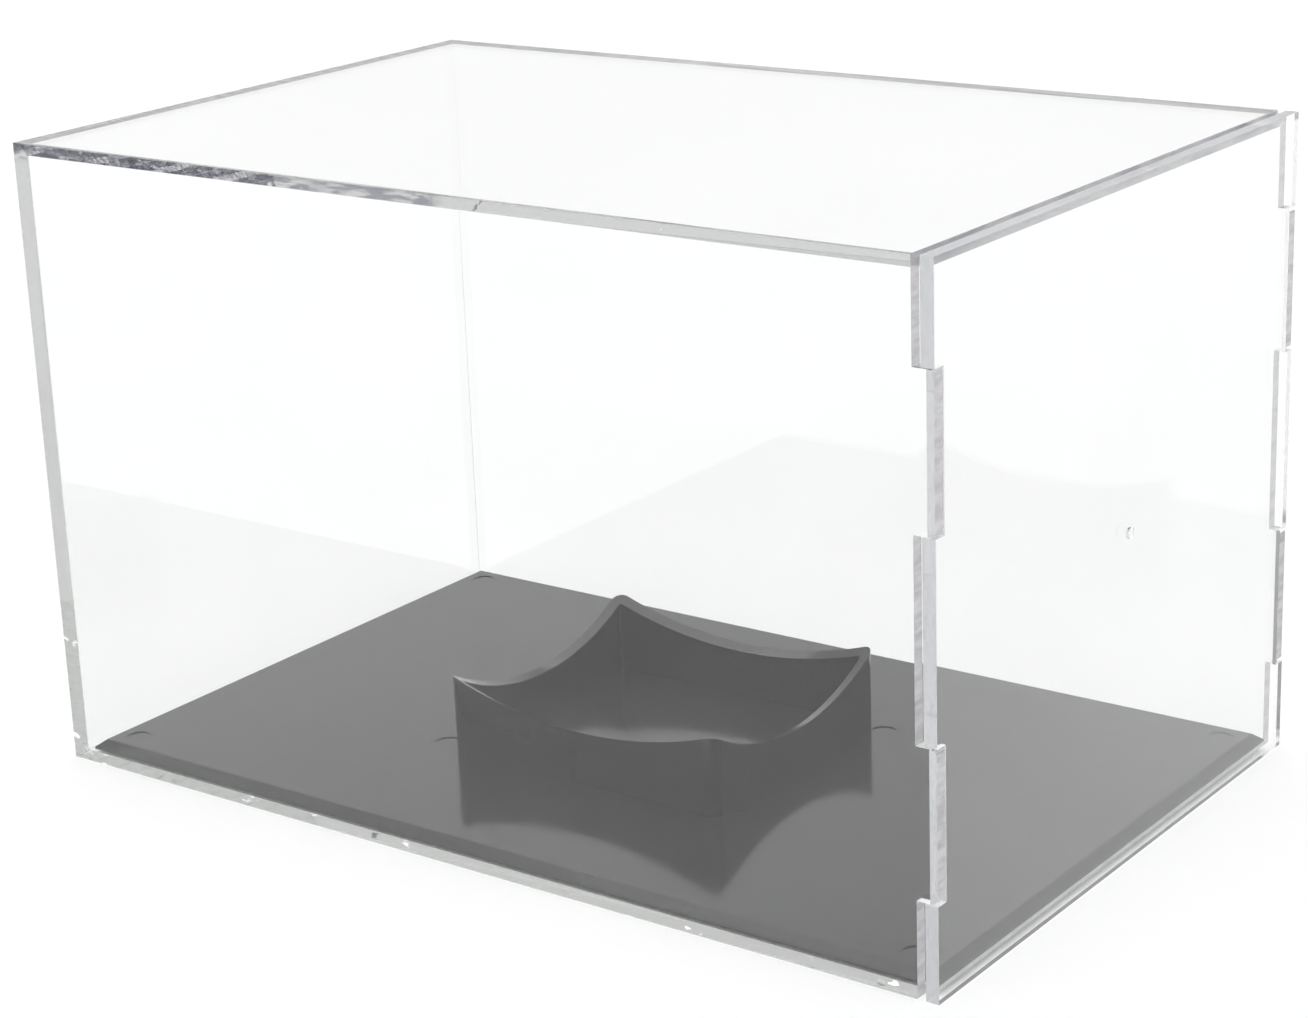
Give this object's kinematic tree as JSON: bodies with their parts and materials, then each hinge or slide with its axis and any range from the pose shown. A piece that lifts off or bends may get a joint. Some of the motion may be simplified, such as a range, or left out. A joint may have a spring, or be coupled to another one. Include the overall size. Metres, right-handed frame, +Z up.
{
  "type": "football display case",
  "caption": "Clear rectangular display case with a pull-off end panel, a black bevelled base insert and a black saddle cradle for an oval ball.",
  "frame": {"origin": "centre of the case's underside", "axes": "+X along the length towards the pull-off end panel, +Y to the back, +Z up"},
  "size_m": [0.3056, 0.195, 0.189],
  "materials": {
    "clear_panels": "polished clear acrylic",
    "clear_end_panel": "moulded clear styrene",
    "black_base": "glossy moulded black",
    "black_cradle": "glossy moulded black"
  },
  "bodies": {
    "case": {"front_panel": "clear_panels", "back_panel": "clear_panels", "left_end_panel": "clear_panels", "top_panel": "clear_panels", "bottom_panel": "clear_panels", "base_insert": "black_base"},
    "end_panel": {"right_end_panel": "clear_end_panel"},
    "cradle": {"ball_cradle": "black_cradle"}
  },
  "joints": [
    {"name": "end_panel_slide", "type": "slide", "parent": "case", "child": "end_panel", "axis": [1, 0, 0], "range_m": [0, 0.12]},
    {"name": "cradle_lift", "type": "slide", "parent": "case", "child": "cradle", "axis": [0, 0, 1], "range_m": [0, 0.1]}
  ]
}
